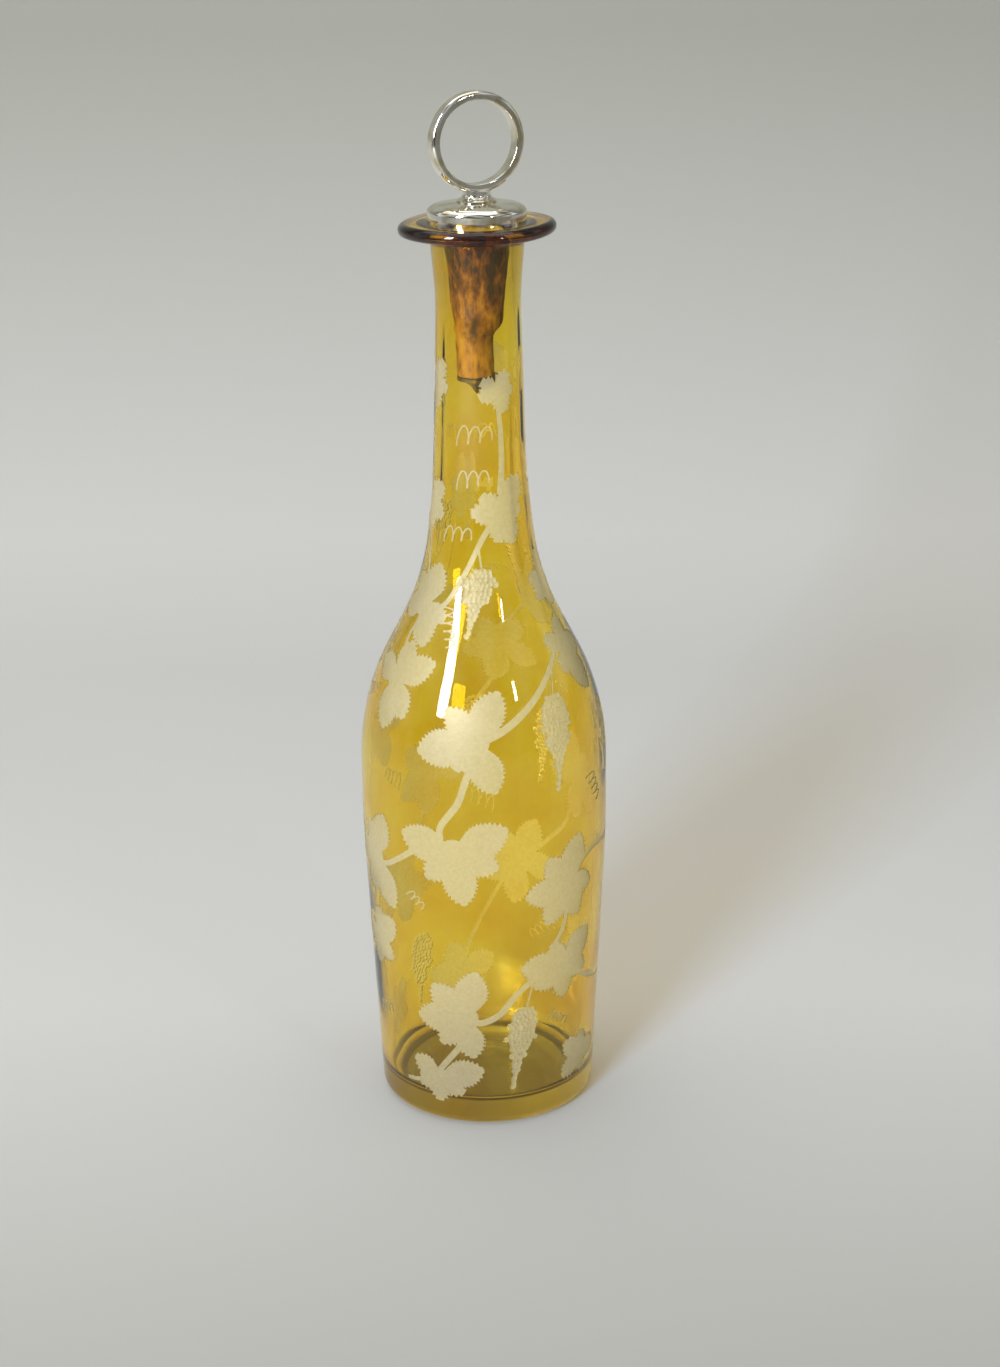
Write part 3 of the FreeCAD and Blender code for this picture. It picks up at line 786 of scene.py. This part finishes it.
bark, tree = new_material("natural_bark_cork_painted_light_and_shade")
where = add_node(tree, "ShaderNodeTexCoord")
along_grain = {"Vector": where.outputs["Object"], "Scale": (1.0, 1.0, 0.35)}
stretched = add_node(tree, "ShaderNodeMapping", along_grain, vector_type="POINT").outputs[0]
patch_links = {"Vector": stretched, "Scale": 330.0, "Detail": 4.0, "Roughness": 0.65}
patches = add_node(tree, "ShaderNodeTexNoise", patch_links)
pores = add_node(tree, "ShaderNodeTexVoronoi", {"Vector": stretched, "Scale": 420.0})
height_parts = add_node(tree, "ShaderNodeSeparateXYZ", {"Vector": where.outputs["Object"]})
# Painted light and shade by height: the cork is made lighter below 252 mm and darker above 270 mm.
height_light_links = {"Value": height_parts.outputs["Z"], "From Min": 0.252, "From Max": 0.270}
painted_height_light = add_node(tree, "ShaderNodeMapRange", {**height_light_links, "To Min": 0.14, "To Max": -0.08})
tone_parts = {0: patches.outputs["Fac"], 1: painted_height_light.outputs["Result"]}
tone = add_node(tree, "ShaderNodeMath", tone_parts, operation="ADD").outputs[0]
cork_stops = [(0.36, "#1a1206"), (0.66, "#dcb458"), (0.48, "#86601c"), (0.92, "#f8e6b0")]
pore_links = {"Height": pores.outputs["Distance"], "Strength": 0.6, "Distance": 0.0004}
rough = add_node(tree, "ShaderNodeBump", pore_links).outputs["Normal"]
cork_colour = colour_ramp(tree, tone, cork_stops)
finish_surface(tree, {"Base Color": cork_colour, "Roughness": 0.8, "Normal": rough})
cork_piece.data.materials.append(bark)
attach(cork_piece, "cork")
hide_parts("cork")


def dress(node_name, material):
    """Gives a CAD piece its material."""
    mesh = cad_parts[node_name].data
    mesh.materials.clear()
    mesh.materials.append(material)


# Silver plate: the cap, its plate, the collar and the ring are brass under polished silver, worn and
# lightly dented, with a faint yellow tarnish in cloudy patches.
silver, tree = new_material("silver_plate_polished_worn")
tarnish = object_noise(tree, 180.0, 4.0)
silver_colour = colour_ramp(tree, tarnish, [(0.36, "#d9cfb0"), (0.56, "#f4f1e6")])
sheen_links = {"Value": tarnish, "From Min": 0.3, "From Max": 0.7, "To Min": 0.16, "To Max": 0.03}
sheen = add_node(tree, "ShaderNodeMapRange", sheen_links).outputs["Result"]
dent_links = {"Height": object_noise(tree, 220.0, 1.0), "Strength": 0.12, "Distance": 0.0004}
dented = add_node(tree, "ShaderNodeBump", dent_links).outputs["Normal"]
silver_links = {"Base Color": silver_colour, "Metallic": 1.0, "Roughness": sheen, "Normal": dented}
finish_surface(tree, silver_links)
for node_name in ("finger_ring", "ring_collar", "dome_cap", "cap_base_plate"):
    dress(node_name, silver)


# Steel fittings: the rod, washer and pointed nut are bare steel, dulled and browned by wine.
steel, tree = new_material("dull_steel_tarnished")
stains = object_noise(tree, 500.0, 3.0)
steel_colour = colour_ramp(tree, stains, [(0.35, "#3a3226"), (0.7, "#8d877a")])
finish_surface(tree, {"Base Color": steel_colour, "Metallic": 1.0, "Roughness": 0.38})
for node_name in ("threaded_rod", "end_washer", "cone_nut"):
    dress(node_name, steel)


# Studio: a pale paper sweep under and behind the decanter, with painted shade that darkens it towards its
# near edge and its top, where the lamps' light falls off. It runs flat past the decanter and turns up in
# a quarter circle.
SWEEP_FRONT_M = -2.5
SWEEP_TURN_M = 0.42
SWEEP_RADIUS_M = 0.75
SWEEP_TOP_M = 2.2
SWEEP_HALF_M = 3.0
SWEEP_STEPS = 24
sweep_line = [(SWEEP_FRONT_M, 0.0), (SWEEP_TURN_M, 0.0)]
for k in range(1, SWEEP_STEPS + 1):
    angle = math.radians(90 * k / SWEEP_STEPS)
    away = SWEEP_TURN_M + SWEEP_RADIUS_M * math.sin(angle)
    sweep_line.append((away, SWEEP_RADIUS_M * (1 - math.cos(angle))))
sweep_line.append((SWEEP_TURN_M + SWEEP_RADIUS_M, SWEEP_TOP_M))
sweep_points = [(side, y, z) for y, z in sweep_line for side in (-SWEEP_HALF_M, SWEEP_HALF_M)]
sweep_faces = [(2 * k, 2 * k + 1, 2 * k + 3, 2 * k + 2) for k in range(len(sweep_line) - 1)]
sweep_mesh = bpy.data.meshes.new("paper_sweep")
sweep_mesh.from_pydata(sweep_points, [], sweep_faces)
sweep_mesh.polygons.foreach_set("use_smooth", [True] * len(sweep_faces))
sweep = bpy.data.objects.new("paper_sweep", sweep_mesh)
bpy.context.collection.objects.link(sweep)

paper, tree = new_material("pale_matt_paper_painted_shade")
where = add_node(tree, "ShaderNodeTexCoord")
run_parts = {0: where.outputs["Object"], 1: (0.0, 1.0, 1.0)}
run = add_node(tree, "ShaderNodeVectorMath", run_parts, operation="DOT_PRODUCT").outputs["Value"]
# Painted shade: the paper is made darker towards its near edge and towards its top.
fade = add_node(tree, "ShaderNodeMapRange", {"Value": run, "From Min": -0.25, "From Max": 1.35})
paper_and_shade_stops = [(0.02, "#a8a8a1"), (0.94, "#acada4"), (0.19, "#d4d4d1"), (0.54, "#d8d8d4")]
paper_with_painted_shade = colour_ramp(tree, fade.outputs["Result"], paper_and_shade_stops)
finish_surface(tree, {"Base Color": paper_with_painted_shade, "Roughness": 0.9})
sweep_mesh.materials.append(paper)


def add_lamp(name, heading, height, distance, size, watts, target_height):
    """A rectangular lamp at a heading from the front, facing the axis; its lengths are in metres."""
    lamp_data = bpy.data.lights.new(name, "AREA")
    lamp_data.shape = "RECTANGLE"
    lamp_data.size, lamp_data.size_y = size
    lamp_data.energy = watts
    lamp = bpy.data.objects.new(name, lamp_data)
    bpy.context.collection.objects.link(lamp)
    turn = math.radians(heading)
    place = Vector((distance * math.sin(turn), -distance * math.cos(turn), height))
    aim = Vector((0, 0, target_height)) - place
    lamp.rotation_euler = aim.to_track_quat("-Z", "Y").to_euler()
    lamp.location = place
    return lamp


# Lamps: a tall window lamp at the front left and a small one at the right make the highlights. A low
# daylight lamp lights the paper and casts the shadow to the right without showing in the glass, and a
# wide lamp high behind the decanter fills in.
window_lamp = add_lamp("window_lamp", -42, 0.85, 1.25, (0.26, 0.9), 18.0, 0.15)
window_lamp.visible_diffuse = False
add_lamp("overhead_lamp", -150, 1.9, 0.5, (1.6, 1.6), 9.0, 0.1)
add_lamp("small_window_lamp", 36, 0.75, 1.3, (0.07, 0.22), 1.4, 0.17)
daylight_lamp = add_lamp("low_daylight_lamp", -26, 0.75, 1.7, (0.4, 0.5), 34.0, 0.15)
daylight_lamp.visible_glossy = False

# Air: soft light from all round, brighter from above and behind. Reflected and bounced rays see it
# broken up by large clouds, as silver shows a room; the eye and the rays through glass see it even.
world = bpy.data.worlds.new("studio_air")
bpy.context.scene.world = world
world.use_nodes = True
tree = world.node_tree
tree.nodes.clear()
toward = add_node(tree, "ShaderNodeTexCoord")
lift_parts = {0: toward.outputs["Generated"], 1: (0.0, 0.8, 0.6)}
lift = add_node(tree, "ShaderNodeVectorMath", lift_parts, operation="DOT_PRODUCT").outputs["Value"]
glow_range = {"From Min": -0.9, "From Max": 0.7, "To Min": 0.12, "To Max": 0.62}
glow = add_node(tree, "ShaderNodeMapRange", {"Value": lift, **glow_range}).outputs["Result"]
room_links = {"Vector": toward.outputs["Generated"], "Scale": 2.6, "Detail": 1.5}
room = add_node(tree, "ShaderNodeTexNoise", room_links).outputs["Fac"]
cloud_range = {"From Min": 0.4, "From Max": 0.6, "To Min": 0.25, "To Max": 1.7}
cloudy = add_node(tree, "ShaderNodeMapRange", {"Value": room, **cloud_range}).outputs["Result"]
path = add_node(tree, "ShaderNodeLightPath").outputs
plain_parts = {0: path["Is Camera Ray"], 1: path["Is Transmission Ray"]}
plain = add_node(tree, "ShaderNodeMath", plain_parts, operation="MAXIMUM").outputs[0]
even_parts = {"Factor": plain, "A": cloudy, "B": 1.0}
even = add_node(tree, "ShaderNodeMix", even_parts, data_type="FLOAT").outputs[0]
strength = add_node(tree, "ShaderNodeMath", {0: glow, 1: even}, operation="MULTIPLY").outputs[0]
air = add_node(tree, "ShaderNodeBackground", {"Color": linear("#f2f3f6"), "Strength": strength})
add_node(tree, "ShaderNodeOutputWorld", {"Surface": air.outputs[0]})
